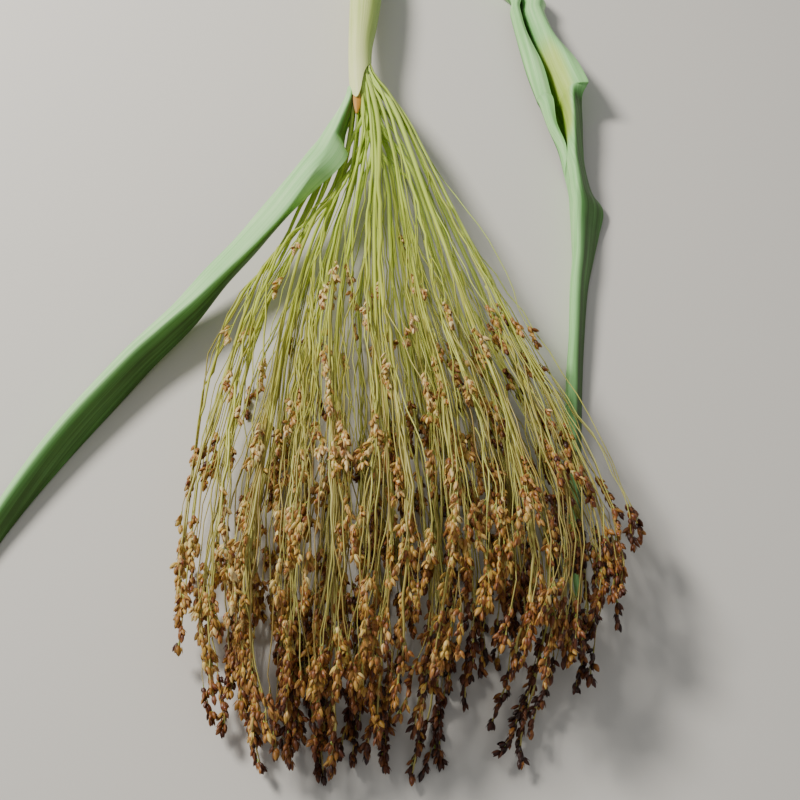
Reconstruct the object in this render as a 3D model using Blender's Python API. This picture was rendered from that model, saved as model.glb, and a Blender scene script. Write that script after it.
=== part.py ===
"""A head of broomcorn sorghum, cut with its stalk and two leaves and laid on a flat surface.

Metres, +Z up, the surface at z = 0. The stalk's cut end points to +Y and the brush spreads to -Y.
Each branch of the brush is one closed solid: a thin strand that swells into its plume of seeds.
"""

import math
import random

import bpy
import numpy as np
from mathutils import Matrix

# Driving sizes
STALK_LENGTH = 0.262  # from the cut end to the first whorl of branches
CULM_RADIUS = 0.0056
CUT_END_HEIGHT = 0.0118  # height of the stalk's axis at the cut end
APEX_HEIGHT = 0.0215  # and at the first whorl
NODE_AT = 0.228  # the culm's node, measured from the first whorl
NODE_SWELL = 0.0009
BRUSH_LENGTH = 0.434
STRAND_RADIUS = 0.00065
PLUME_RADIUS = 0.0064
PLUME_END_RADIUS = 0.0014
LEAF_THICKNESS = 0.0008
CLEARANCE = 0.0004  # kept between neighbours

SEED = 7
BRANCH_SIDES = 6
UNDERSIDE_FLATNESS = 0.72  # 1 is a half ellipse, less is flatter
STALK_SIDES = 18
LEAF_STRIPS = 8
LEAF_STATIONS = 36

# Rows are distance from the first whorl towards the tips, then the values there.
BRUSH_AXIS = (  # drift to +X, height
    (0.000, 0.000, APEX_HEIGHT),
    (0.060, 0.004, 0.0235),
    (0.120, 0.010, 0.0245),
    (0.260, 0.012, 0.0245),
    (0.340, 0.018, 0.0235),
    (0.440, 0.014, 0.0140),
)
OUTER_SHELL = (  # half width, rise above the axis, drop below it
    (0.000, 0.0063, 0.0063, 0.0063),
    (0.060, 0.0220, 0.0105, 0.0095),
    (0.120, 0.0425, 0.0175, 0.0135),
    (0.190, 0.0625, 0.0260, 0.0175),
    (0.260, 0.0790, 0.0310, 0.0195),
    (0.340, 0.0930, 0.0320, 0.0195),
    (0.440, 0.0820, 0.0120, 0.0110),
)
INNER_SHELL = (
    (0.000, 0.0040, 0.0040, 0.0040),
    (0.060, 0.0130, 0.0066, 0.0056),
    (0.120, 0.0300, 0.0095, 0.0060),
    (0.190, 0.0470, 0.0130, 0.0050),
    (0.260, 0.0620, 0.0155, 0.0040),
    (0.340, 0.0740, 0.0160, 0.0035),
    (0.440, 0.0640, 0.0050, 0.0020),
)
RACHIS = (  # radius of the stalk's tip, which carries the branches
    (0.000, 0.0050),
    (0.014, 0.0044),
    (0.030, 0.0034),
    (0.060, 0.0016),
    (0.072, 0.0008),
)
# Where the branches of each shell start along the rachis, taken in turn round the shell
OUTER_WHORLS = (0.000, 0.014)
INNER_WHORLS = (0.032, 0.050, 0.041, 0.060)
OUTER_BRANCHES = 26
INNER_BRANCHES = 16
OUTER_EASE = 0.028  # a branch leaves the rachis and joins its shell over this length
INNER_EASE = 0.040

STATIONS = (0.014, 0.022, 0.030, 0.040, 0.050, 0.060, 0.078, 0.100, 0.130, 0.160, 0.190, 0.220)
PLUME_STATIONS = (0.245, 0.270, 0.295, 0.320, 0.345, 0.370, 0.395, 0.415)

# Leaves: rows along the midrib of x, y, z, half width, curl and roll. Curl is the angle in degrees that
# half of the leaf turns through, so 140 wraps a stalk. Roll turns the midrib from the top, to the right
# when negative.
FLAG_LEAF = (
    (-0.0048, 0.262, 0.0195, 0.0224, 142, 32),
    (-0.0048, 0.190, 0.0221, 0.0224, 142, 32),
    (-0.0047, 0.110, 0.0249, 0.0218, 142, 32),
    (-0.0045, 0.040, 0.0272, 0.0204, 138, 32),
    (-0.0045, 0.016, 0.0281, 0.0186, 124, 32),
    (-0.0052, -0.004, 0.0302, 0.0105, 62, 30),
    (-0.0080, -0.026, 0.0335, 0.0078, 34, 26),
    (-0.0140, -0.052, 0.0365, 0.0085, 34, 24),
    (-0.0235, -0.080, 0.0382, 0.0105, 42, 18),
    (-0.0400, -0.112, 0.0385, 0.0140, 62, 16),
    (-0.0610, -0.144, 0.0320, 0.0180, 92, 8),
    (-0.0830, -0.180, 0.0195, 0.0205, 108, 0),
    (-0.1120, -0.220, 0.0158, 0.0205, 110, -6),
    (-0.1400, -0.262, 0.0130, 0.0180, 108, -8),
    (-0.1620, -0.304, 0.0098, 0.0130, 100, -4),
    (-0.1760, -0.340, 0.0062, 0.0070, 90, 0),
    (-0.1820, -0.362, 0.0030, 0.0016, 60, 0),
)
SECOND_LEAF = (
    (0.0106, 0.262, 0.0092, 0.0270, 142, -104),
    (0.0106, 0.236, 0.0101, 0.0270, 142, -104),
    (0.0106, 0.216, 0.0108, 0.0256, 132, -106),
    (0.0132, 0.198, 0.0108, 0.0150, 74, -110),
    (0.0320, 0.172, 0.0095, 0.0130, 66, -128),
    (0.0640, 0.140, 0.0056, 0.0165, 100, -156),
    (0.0980, 0.100, 0.0040, 0.0185, 112, -164),
    (0.1190, 0.052, 0.0045, 0.0190, 116, -158),
    (0.1330, 0.008, 0.0090, 0.0180, 120, -118),
    (0.1330, -0.022, 0.0150, 0.0165, 126, -50),
    (0.1280, -0.062, 0.0150, 0.0150, 130, -24),
    (0.1270, -0.108, 0.0140, 0.0165, 112, -14),
    (0.1190, -0.170, 0.0110, 0.0135, 120, 0),
    (0.1120, -0.230, 0.0090, 0.0105, 120, 0),
    (0.1060, -0.285, 0.0072, 0.0085, 116, 0),
    (0.1030, -0.325, 0.0052, 0.0055, 104, 0),
    (0.1020, -0.352, 0.0026, 0.0014, 60, 0),
)

STALK_COLOUR = (0.62, 0.66, 0.33)
LEAF_COLOUR = (0.33, 0.52, 0.28)
SEED_COLOUR = (0.42, 0.24, 0.08)


def clear_scene():
    for obj in list(bpy.data.objects):
        bpy.data.objects.remove(obj)


def make_material(name, colour, roughness):
    material = bpy.data.materials.new(name)
    material.use_nodes = True
    shader = material.node_tree.nodes["Principled BSDF"]
    shader.inputs["Base Color"].default_value = (*colour, 1.0)
    shader.inputs["Roughness"].default_value = roughness
    shader.inputs["Metallic"].default_value = 0.0
    return material


def add_object(name, points, faces, colour, roughness=0.6):
    """Make a named, smooth-shaded object from points and faces, with its own material."""
    mesh = bpy.data.meshes.new(name)
    mesh.from_pydata([tuple(point) for point in points], [], faces)
    mesh.validate()
    mesh.shade_smooth()
    mesh.materials.append(make_material(name + "_surface", colour, roughness))
    obj = bpy.data.objects.new(name, mesh)
    bpy.context.scene.collection.objects.link(obj)
    return obj


def smooth_step(share):
    share = min(max(share, 0.0), 1.0)
    return share * share * (3.0 - 2.0 * share)


def read_rows(rows, key):
    """The values of a table at a key, on a smooth curve through its rows."""
    table = np.array(rows)
    keys = table[:, 0]
    values = table[:, 1:]
    slopes = np.gradient(values, keys, axis=0)
    row = int(np.clip(np.searchsorted(keys, key) - 1, 0, len(keys) - 2))
    span = keys[row + 1] - keys[row]
    t = float(np.clip((key - keys[row]) / span, 0.0, 1.0))
    start = values[row] * (1 + 2 * t) * (1 - t) ** 2 + slopes[row] * span * t * (1 - t) ** 2
    end = values[row + 1] * t * t * (3 - 2 * t) + slopes[row + 1] * span * t * t * (t - 1)
    return start + end


def tube_faces(rings, sides):
    """Faces of a closed tube: quads between the rings and a cap on each end."""
    faces = []
    for ring in range(rings - 1):
        for side in range(sides):
            after = (side + 1) % sides
            low = ring * sides
            high = low + sides
            faces.append((low + side, low + after, high + after, high + side))
    faces.append(tuple(reversed(range(sides))))
    faces.append(tuple(range((rings - 1) * sides, rings * sides)))
    return faces


def upright_ring(centre, radius, sides):
    """A ring in a plane across Y. It is cut off flat where it would go below the surface."""
    points = []
    for side in range(sides):
        angle = 2 * math.pi * side / sides
        x = centre[0] + radius * math.cos(angle)
        z = centre[2] + radius * math.sin(angle)
        points.append((x, centre[1], max(z, 0.0)))
    return points


# The stalk: the culm, its node, and the tapering rachis inside the brush


def stalk_axis(along):
    """Point on the stalk's axis. along is the distance from the first whorl, negative towards the cut."""
    if along >= 0.0:
        drift, height = read_rows(BRUSH_AXIS, along)
        return (drift, -along, height)
    share = -along / STALK_LENGTH
    return (0.0, -along, APEX_HEIGHT + (CUT_END_HEIGHT - APEX_HEIGHT) * share)


def stalk_radius(along):
    if along >= 0.0:
        return float(read_rows(RACHIS, along)[0])
    swell = NODE_SWELL * math.exp(-(((along + NODE_AT) / 0.005) ** 2))
    neck = RACHIS[0][1]
    return neck + (CULM_RADIUS - neck) * smooth_step(-along / 0.06) + swell


def make_stalk():
    behind = (-STALK_LENGTH, -0.240, -0.233, -0.228, -0.223, -0.216, -0.17, -0.12, -0.07, -0.04, -0.02)
    ahead = (0.0, 0.014, 0.022, 0.030, 0.040, 0.050, 0.060, RACHIS[-1][0])
    points = []
    for along in behind + ahead:
        points += upright_ring(stalk_axis(along), stalk_radius(along), STALK_SIDES)
    add_object("stalk", points, tube_faces(len(behind + ahead), STALK_SIDES), STALK_COLOUR)


# The brush: two shells of branches, one inside the other


def point_on_shell(shell, distance, share):
    """Offset from the brush's axis, a share of the way round a shell's outline, by length."""
    half_width, rise, drop = read_rows(shell, distance)
    angle = np.linspace(0.0, 2 * math.pi, 241)
    x = half_width * np.cos(angle)
    lift = np.sin(angle)
    z = np.where(lift > 0, rise * lift, -drop * np.abs(lift) ** UNDERSIDE_FLATNESS)
    run = np.concatenate([[0.0], np.cumsum(np.hypot(np.diff(x), np.diff(z)))])
    want = (share % 1.0) * run[-1]
    return np.interp(want, run, x), np.interp(want, run, z), run[-1]


def room_for_plume(distance):
    """The largest radius that keeps every plume clear of the next, at this distance."""
    outer = read_rows(OUTER_SHELL, distance)
    inner = read_rows(INNER_SHELL, distance)
    outer_run = point_on_shell(OUTER_SHELL, distance, 0.0)[2]
    inner_run = point_on_shell(INNER_SHELL, distance, 0.0)[2]
    gaps = (
        outer_run / OUTER_BRANCHES,
        inner_run / INNER_BRANCHES,
        outer[1] - inner[1],
        outer[2] - inner[2],
        inner[1] + inner[2],
    )
    return 0.5 * min(gaps) * 0.90 - CLEARANCE


def branch_centre(branch, distance):
    """Point on a branch's middle line: it starts on the rachis and eases out to its shell."""
    share = branch["share"]
    off_rachis = stalk_radius(distance) + CLEARANCE + STRAND_RADIUS
    angle = 2 * math.pi * share
    x, z, _ = point_on_shell(branch["shell"], distance, share)
    out = smooth_step((distance - branch["start"]) / branch["ease"])
    offset_x = off_rachis * math.cos(angle) * (1 - out) + x * out
    offset_z = off_rachis * math.sin(angle) * (1 - out) + z * out
    drift, height = read_rows(BRUSH_AXIS, distance)
    return (drift + offset_x, -distance, height + offset_z)


def branch_radius(branch, distance, station):
    """Strand radius up to where the seeds begin, then a lumpy plume that narrows at its tip."""
    swell = smooth_step((distance - branch["seeds_from"]) / 0.070)
    taper = smooth_step((branch["end"] - distance) / 0.045)
    lump = 1.0 - 0.10 * (station % 2)
    plume = min(PLUME_RADIUS * lump, room_for_plume(distance))
    tip = PLUME_END_RADIUS + (plume - PLUME_END_RADIUS) * taper
    return STRAND_RADIUS + max(tip - STRAND_RADIUS, 0.0) * swell


def plan_branches():
    """List every branch: its shell, its place round the shell, where it starts and where it ends."""
    rng = random.Random(SEED)
    shells = (
        (OUTER_SHELL, OUTER_BRANCHES, OUTER_WHORLS, OUTER_EASE),
        (INNER_SHELL, INNER_BRANCHES, INNER_WHORLS, INNER_EASE),
    )
    branches = []
    for shell, count, whorls, ease in shells:
        for number in range(count):
            share = number / count
            side, lift, _ = point_on_shell(shell, 0.34, share)
            outward = side / shell[-2][1]
            reach = 1.0 - 0.13 * outward**2 - (0.03 if lift > 0 else 0.0)
            branches.append(
                {
                    "shell": shell,
                    "share": share,
                    "ease": ease,
                    "start": whorls[number % len(whorls)],
                    "end": BRUSH_LENGTH * reach * rng.uniform(0.955, 1.0),
                    "seeds_from": BRUSH_LENGTH * rng.uniform(0.36, 0.52),
                }
            )
    return branches


def make_branch(name, branch):
    within = [y for y in STATIONS + PLUME_STATIONS if branch["start"] < y < branch["end"] - 0.010]
    distances = [branch["start"], *within, branch["end"]]
    points = []
    for station, distance in enumerate(distances):
        radius = branch_radius(branch, distance, station)
        points += upright_ring(branch_centre(branch, distance), radius, BRANCH_SIDES)
    add_object(name, points, tube_faces(len(distances), BRANCH_SIDES), SEED_COLOUR, 0.7)


# The leaves: curled sheets whose sheaths wrap the stalk


def leaf_middle(rows):
    """The leaf's middle surface, as one row of points for each station along the midrib."""
    keyed = [(number, *row) for number, row in enumerate(rows)]
    keys = np.linspace(0.0, len(rows) - 1, LEAF_STATIONS)
    values = np.array([read_rows(keyed, key) for key in keys])
    midrib = values[:, :3]
    tangent = np.gradient(midrib, axis=0)
    tangent /= np.linalg.norm(tangent, axis=1)[:, None]
    surface = []
    for point, along, (half_width, curl, roll) in zip(midrib, tangent, values[:, 3:]):
        level = np.cross((0.0, 0.0, 1.0), along)
        level /= np.linalg.norm(level)
        upright = np.cross(along, level)
        turn = math.radians(roll)
        side = level * math.cos(turn) + upright * math.sin(turn)
        top = upright * math.cos(turn) - level * math.sin(turn)
        bend = math.radians(curl)
        radius = half_width / bend
        across = np.linspace(-1.0, 1.0, LEAF_STRIPS + 1)
        row = [
            point + side * radius * math.sin(bend * w) + top * radius * (math.cos(bend * w) - 1)
            for w in across
        ]
        surface.append(row)
    surface = np.array(surface)
    surface[:, :, 2] = np.maximum(surface[:, :, 2], LEAF_THICKNESS / 2)
    return surface


def make_leaf(name, rows, colour):
    middle = leaf_middle(rows)
    along = np.gradient(middle, axis=0)
    across = np.gradient(middle, axis=1)
    normal = np.cross(across, along)
    normal /= np.linalg.norm(normal, axis=2)[:, :, None]
    sides = [middle + normal * LEAF_THICKNESS / 2, middle - normal * LEAF_THICKNESS / 2]
    points = np.concatenate([side.reshape(-1, 3) for side in sides])
    points[:, 2] = np.maximum(points[:, 2], 0.0)
    columns = LEAF_STRIPS + 1
    under = LEAF_STATIONS * columns
    faces = []
    for row in range(LEAF_STATIONS - 1):
        for column in range(LEAF_STRIPS):
            a = row * columns + column
            b = a + columns
            faces.append((a, a + 1, b + 1, b))
            faces.append((under + a, under + b, under + b + 1, under + a + 1))
    for row in range(LEAF_STATIONS - 1):
        for a, turned in ((row * columns, False), (row * columns + LEAF_STRIPS, True)):
            edge = (a, a + columns, under + a + columns, under + a)
            faces.append(tuple(reversed(edge)) if turned else edge)
    for column in range(LEAF_STRIPS):
        for a, turned in ((column, True), ((LEAF_STATIONS - 1) * columns + column, False)):
            edge = (a, a + 1, under + a + 1, under + a)
            faces.append(tuple(reversed(edge)) if turned else edge)
    add_object(name, points, faces, colour, 0.5)


def centre_on_origin():
    """Move everything together, so that the whole object's box is centred over the origin."""
    corners = [v.co for obj in bpy.data.objects for v in obj.data.vertices]
    low = np.min(corners, axis=0)
    high = np.max(corners, axis=0)
    shift = (-(low[0] + high[0]) / 2, -(low[1] + high[1]) / 2, -low[2])
    for obj in bpy.data.objects:
        obj.data.transform(Matrix.Translation(shift))


def main():
    clear_scene()
    make_stalk()
    make_leaf("flag_leaf", FLAG_LEAF, LEAF_COLOUR)
    make_leaf("second_leaf", SECOND_LEAF, LEAF_COLOUR)
    for number, branch in enumerate(plan_branches(), start=1):
        make_branch(f"brush_branch_{number:02d}", branch)
    centre_on_origin()


main()
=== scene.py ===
import math

import bpy
import numpy as np
from bpy.props import FloatProperty, FloatVectorProperty, IntProperty, PointerProperty
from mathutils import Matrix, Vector


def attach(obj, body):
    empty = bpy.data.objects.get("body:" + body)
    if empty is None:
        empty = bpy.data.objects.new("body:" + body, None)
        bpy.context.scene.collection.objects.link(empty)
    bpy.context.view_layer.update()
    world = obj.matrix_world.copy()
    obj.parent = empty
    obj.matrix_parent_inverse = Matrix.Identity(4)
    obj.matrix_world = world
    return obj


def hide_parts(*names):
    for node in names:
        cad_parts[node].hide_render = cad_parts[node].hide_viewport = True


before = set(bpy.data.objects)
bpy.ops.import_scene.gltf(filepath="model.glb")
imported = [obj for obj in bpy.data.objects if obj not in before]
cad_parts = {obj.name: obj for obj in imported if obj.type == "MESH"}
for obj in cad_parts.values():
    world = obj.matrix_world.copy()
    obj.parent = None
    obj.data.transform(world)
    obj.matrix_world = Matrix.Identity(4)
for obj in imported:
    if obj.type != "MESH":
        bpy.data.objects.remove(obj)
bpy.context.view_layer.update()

bl_info = {
    "name": "Broomcorn Head",
    "version": (1, 0, 0),
    "blender": (4, 5, 0),
    "location": "3D View > Sidebar > Broomcorn",
    "description": "Grows a cut head of broomcorn sorghum: its stalk, two leaves and seeded brush",
    "category": "Object",
}

# Metres, +Z up. The stalk's cut end points to +Y and the brush spreads to -Y.
MM = 0.001
STALK_LENGTH = 0.262
BRUSH_LENGTH = 0.434
# Height of the stalk's axis at its cut end and at the first whorl
CUT_HEIGHT = 0.0118
WHORL_HEIGHT = 0.0215
# Degrees that the camera looks down
LOOK_DOWN = 54.5


def node_points(name):
    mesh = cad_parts[name].data
    points = np.empty(len(mesh.vertices) * 3, np.float32)
    mesh.vertices.foreach_get("co", points)
    return points.reshape(-1, 3).astype(float)


def find_first_whorl():
    """The point on the surface straight below where the first branches leave the stalk."""
    stalk = node_points("stalk")
    cut = stalk[stalk[:, 1] > stalk[:, 1].max() - 1e-4]
    middle = (cut[:, 0].min() + cut[:, 0].max()) / 2
    return np.array((middle, stalk[:, 1].max() - STALK_LENGTH, 0.0))


WHORL = find_first_whorl()


# Colours and small helpers


def to_linear(hex_colour):
    """Linear RGBA of an sRGB hex colour."""
    channels = [int(hex_colour[i : i + 2], 16) / 255 for i in (1, 3, 5)]
    linear = [c / 12.92 if c <= 0.04045 else ((c + 0.055) / 1.055) ** 2.4 for c in channels]
    return (*linear, 1.0)


def smooth_step(share):
    share = np.clip(share, 0.0, 1.0)
    return share * share * (3.0 - 2.0 * share)


def read_rows(rows, keys):
    """Values of a table at many keys, on a smooth curve through its rows."""
    table = np.array(rows, float)
    known = table[:, 0]
    values = table[:, 1:]
    slopes = np.gradient(values, known, axis=0)
    keys = np.clip(np.atleast_1d(keys), known[0], known[-1])
    row = np.clip(np.searchsorted(known, keys) - 1, 0, len(known) - 2)
    span = (known[row + 1] - known[row])[:, None]
    t = (keys - known[row])[:, None] / span
    start = values[row] * (1 + 2 * t) * (1 - t) ** 2 + slopes[row] * span * t * (1 - t) ** 2
    end = values[row + 1] * t * t * (3 - 2 * t) + slopes[row + 1] * span * t * t * (t - 1)
    return start + end


def unit(vectors):
    return vectors / np.maximum(np.linalg.norm(vectors, axis=-1, keepdims=True), 1e-12)


def run_along(path):
    """Distance of each point of a path from its start."""
    return np.concatenate([[0.0], np.cumsum(np.linalg.norm(np.diff(path, axis=0), axis=1))])


# Materials


def add_node(tree, kind, settings=None, links=None):
    """Add a node, set its sockets or properties and link its inputs."""
    node = tree.nodes.new(kind)
    for name, value in (settings or {}).items():
        if isinstance(name, int) or name in node.inputs:
            node.inputs[name].default_value = value
        else:
            setattr(node, name, value)
    for name, socket in (links or {}).items():
        tree.links.new(socket, node.inputs[name])
    return node


def add_ramp(tree, factor, stops):
    """Colour ramp through (position, colour) stops. A colour is sRGB hex, or linear from a setting."""
    node = add_node(tree, "ShaderNodeValToRGB", links={"Fac": factor})
    ramp = node.color_ramp
    while len(ramp.elements) < len(stops):
        ramp.elements.new(0.5)
    for element, (position, colour) in zip(ramp.elements, stops):
        element.position = position
        element.color = to_linear(colour) if isinstance(colour, str) else (*colour, 1.0)
    return node.outputs["Color"]


def new_material(name):
    material = bpy.data.materials.new(name)
    material.use_nodes = True
    return material, material.node_tree, material.node_tree.nodes["Principled BSDF"]


def streaks(tree, across, along, detail=3.0):
    """Noise drawn out lengthwise. across and along are its sizes in metres."""
    grain = add_node(tree, "ShaderNodeAttribute", {"attribute_name": "grain"})
    stretched = add_node(
        tree,
        "ShaderNodeVectorMath",
        {"operation": "MULTIPLY", 1: (1.0 / across, 1.0 / along, 37.0)},
        {0: grain.outputs["Vector"]},
    )
    noise = add_node(
        tree,
        "ShaderNodeTexNoise",
        {"Scale": 1.0, "Detail": detail, "Roughness": 0.55},
        {"Vector": stretched.outputs["Vector"]},
    )
    return noise.outputs["Fac"]


def blotches(tree, size, detail=2.0):
    """Cloudy noise of a real size in metres."""
    place = add_node(tree, "ShaderNodeTexCoord")
    noise = add_node(
        tree,
        "ShaderNodeTexNoise",
        {"Scale": 1.0 / size, "Detail": detail},
        {"Vector": place.outputs["Object"]},
    )
    return noise.outputs["Fac"]


def read_value(tree, name):
    return add_node(tree, "ShaderNodeAttribute", {"attribute_name": name}).outputs["Fac"]


def sum_of(tree, value, other, weight):
    """value + (other - 0.5) * weight."""
    scaled = add_node(
        tree,
        "ShaderNodeMath",
        {"operation": "MULTIPLY_ADD", 1: weight, 2: -0.5 * weight},
        {0: other},
    )
    added = add_node(
        tree, "ShaderNodeMath", {"operation": "ADD"}, {0: value, 1: scaled.outputs[0]}
    )
    return added.outputs[0]


def blend(tree, factor, first, second):
    """The first colour where factor is 0 and the second where it is 1."""
    node = add_node(tree, "ShaderNodeMix", {"data_type": "RGBA", "clamp_factor": True})
    for index, socket in ((0, factor), (6, first), (7, second)):
        tree.links.new(socket, node.inputs[index])
    return node.outputs[2]


def add_bump(tree, shader, height, distance, strength):
    bump = add_node(
        tree,
        "ShaderNodeBump",
        {"Distance": distance, "Strength": strength},
        {"Height": height},
    )
    tree.links.new(bump.outputs["Normal"], shader.inputs["Normal"])


def finish_surface(tree, shader, colour, roughness, specular=0.5):
    tree.links.new(colour, shader.inputs["Base Color"])
    shader.inputs["Roughness"].default_value = roughness
    shader.inputs["Specular IOR Level"].default_value = specular


def husk_material(colours):
    """Papery glumes: dark brown where painted shade lowers their tone, amber and ochre over most of the
    brush, cream on the palest, most of them on top and to the left where painted light raises it.
    Fine nerves run along them, and whole ears flush redder here and there."""
    material, tree, shader = new_material("broomcorn husk, dried")
    nerves = streaks(tree, 0.30 * MM, 3.0 * MM)
    tone = sum_of(tree, read_value(tree, "tone"), nerves, 0.30)
    tone = sum_of(tree, tone, read_value(tree, "along"), 0.10)
    golden = (
        (0.00, "#2c140a"),
        (0.18, "#592b11"),
        (0.36, "#8d5720"),
        (0.56, colours.husk),
        (0.78, "#ceac50"),
        (1.00, colours.palest_husk),
    )
    rosy = (
        (0.00, "#2a1109"),
        (0.25, "#5a2711"),
        (0.50, colours.flushed_husk),
        (0.75, "#c48957"),
        (1.00, "#e4c092"),
    )
    flush = add_node(
        tree,
        "ShaderNodeMath",
        {"operation": "MULTIPLY_ADD", 1: 2.6, 2: -1.1},
        {0: blotches(tree, 7 * MM)},
    )
    colour = blend(tree, flush.outputs[0], add_ramp(tree, tone, golden), add_ramp(tree, tone, rosy))
    finish_surface(tree, shader, colour, 0.46, 0.45)
    add_bump(tree, shader, nerves, 0.08 * MM, 0.7)
    return material


def grain_material(colours):
    """The ripe seed inside its husk: hard, smooth and reddish brown."""
    material, tree, shader = new_material("broomcorn grain, ripe")
    mottle = blotches(tree, 1.2 * MM)
    tone = sum_of(tree, read_value(tree, "tone"), mottle, 0.4)
    colour = add_ramp(tree, tone, ((0.1, "#3c170c"), (0.5, colours.grain), (0.9, "#b87836")))
    finish_surface(tree, shader, colour, 0.33)
    add_bump(tree, shader, mottle, 0.05 * MM, 0.5)
    return material


def pith_material(colours):
    """Dry white pith with the cut ends of its fibres showing as darker dots."""
    material, tree, shader = new_material("sorghum pith, cut")
    grain = add_node(tree, "ShaderNodeAttribute", {"attribute_name": "grain"})
    fibres = add_node(
        tree, "ShaderNodeTexVoronoi", {"Scale": 1.0 / (0.8 * MM)}, {"Vector": grain.outputs["Vector"]}
    ).outputs["Distance"]
    colour = add_ramp(tree, fibres, ((0.08, "#8c8a4c"), (0.22, "#d8d9a6"), (0.7, colours.pith)))
    finish_surface(tree, shader, colour, 0.75)
    add_bump(tree, shader, fibres, 0.15 * MM, 0.6)
    return material


def strand_material(colours):
    """Smooth stems, bright yellow-green where they leave the stalk and straw-brown among the seeds."""
    material, tree, shader = new_material("broomcorn stem, fresh")
    lines = streaks(tree, 0.35 * MM, 40 * MM)
    reach = sum_of(tree, read_value(tree, "along"), lines, 0.22)
    fresh = (
        (0.00, "#cce673"),
        (0.30, colours.strand),
        (0.55, "#cacf56"),
        (0.80, "#c4bf62"),
        (1.00, "#b3a35c"),
    )
    aged = ((0.0, "#93a83c"), (0.4, colours.aged_strand), (0.7, "#9a7a36"), (1.0, "#7f5630"))
    tone = sum_of(tree, read_value(tree, "tone"), lines, 0.5)
    colour = blend(tree, tone, add_ramp(tree, reach, aged), add_ramp(tree, reach, fresh))
    finish_surface(tree, shader, colour, 0.40)
    add_bump(tree, shader, lines, 0.12 * MM, 0.6)
    return material


def leaf_material(name, stops, warm_stops, roughness):
    """Ribbed leaf skin. tone runs from dark painted shade through its thick green to its waxy bloom,
    along turns it yellow-green.
    """
    material, tree, shader = new_material(name)
    fine = streaks(tree, 0.45 * MM, 60 * MM)
    broad = streaks(tree, 2.6 * MM, 140 * MM, 2.0)
    tone = sum_of(tree, read_value(tree, "tone"), fine, 0.26)
    tone = sum_of(tree, tone, broad, 0.46)
    tone = sum_of(tree, tone, blotches(tree, 30 * MM), 0.16)
    green, warm = add_ramp(tree, tone, stops), add_ramp(tree, tone, warm_stops)
    finish_surface(tree, shader, blend(tree, read_value(tree, "along"), green, warm), roughness, 0.35)
    add_bump(tree, shader, sum_of(tree, fine, broad, 0.8), 0.25 * MM, 0.7)
    return material


def leaf_materials(colours):
    """A waxy blue-green blade, a paler drying sheath and a papery orange-brown ligule."""
    # The darkest stops are reached mostly where painted shade lowers the tone.
    blade = (
        (0.0, "#1a2f06"),
        (0.3, "#3b6022"),
        (0.55, colours.leaf),
        (0.8, colours.leaf_bloom),
        (1.0, "#c8f2ae"),
    )
    blade_inside = ((0.0, "#24460a"), (0.4, "#6a9424"), (0.7, "#b6d150"), (1.0, "#daec8a"))
    sheath = (
        (0.0, "#48691c"),
        (0.3, "#82a23a"),
        (0.55, "#c2d574"),
        (0.8, colours.sheath),
        (1.0, "#f7f4c6"),
    )
    sheath_inside = ((0.0, "#57742a"), (1.0, "#dfe6ae"))
    ligule = ((0.0, "#7a4412"), (0.5, colours.ligule), (1.0, "#e2b862"))
    return [
        leaf_material("sorghum leaf, waxy", blade, blade_inside, 0.50),
        leaf_material("sorghum sheath, drying", sheath, sheath_inside, 0.42),
        leaf_material("sorghum ligule, papery", ligule, ligule, 0.42),
    ]


# Meshes: everything is gathered as four-cornered faces


class Bundle:
    """Faces gathered for one piece, with the values its materials read."""

    def __init__(self):
        self.parts = []
        self.points = 0
        self.slots = {"strip": 0, "cell": 0}

    def add(self, points, faces, material, tone, along, grain, corners, place, kind):
        """place numbers the face's own strip or cell of the piece's map, from 0 in this call."""
        place = np.broadcast_to(place, len(faces))
        self.parts.append(
            {
                "points": points,
                "faces": faces + self.points,
                "material": np.broadcast_to(material, len(faces)),
                "tone": np.broadcast_to(tone, len(points)),
                "along": np.broadcast_to(along, len(points)),
                "grain": grain,
                "corners": corners,
                "place": place + self.slots[kind],
                "strip": np.full(len(faces), kind == "strip"),
            }
        )
        self.points += len(points)
        self.slots[kind] += int(place.max()) + 1

    def gather(self, key):
        return np.concatenate([part[key] for part in self.parts])

    def map_places(self):
        """Corner places on the piece's own map: seeds in square cells, stems in strips above them."""
        corners = self.gather("corners").copy()
        place = self.gather("place")[:, None]
        strip = self.gather("strip")
        split = 0.72 if self.slots["cell"] else 0.0
        inside = 0.04 + 0.92 * corners
        across = max(1, math.ceil(math.sqrt(self.slots["cell"])))
        corners[..., 0] = (place % across + inside[..., 0]) / across
        corners[..., 1] = split * (place // across + inside[..., 1]) / across
        band = (1 - split) / max(1, self.slots["strip"])
        level = split + band * (place + inside[..., 1])
        corners[strip, :, 0] = inside[strip][..., 0]
        corners[strip, :, 1] = level[strip]
        return corners


def add_to_scene(name, data):
    item = bpy.data.objects.new(name, data)
    bpy.context.scene.collection.objects.link(item)
    return item


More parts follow.
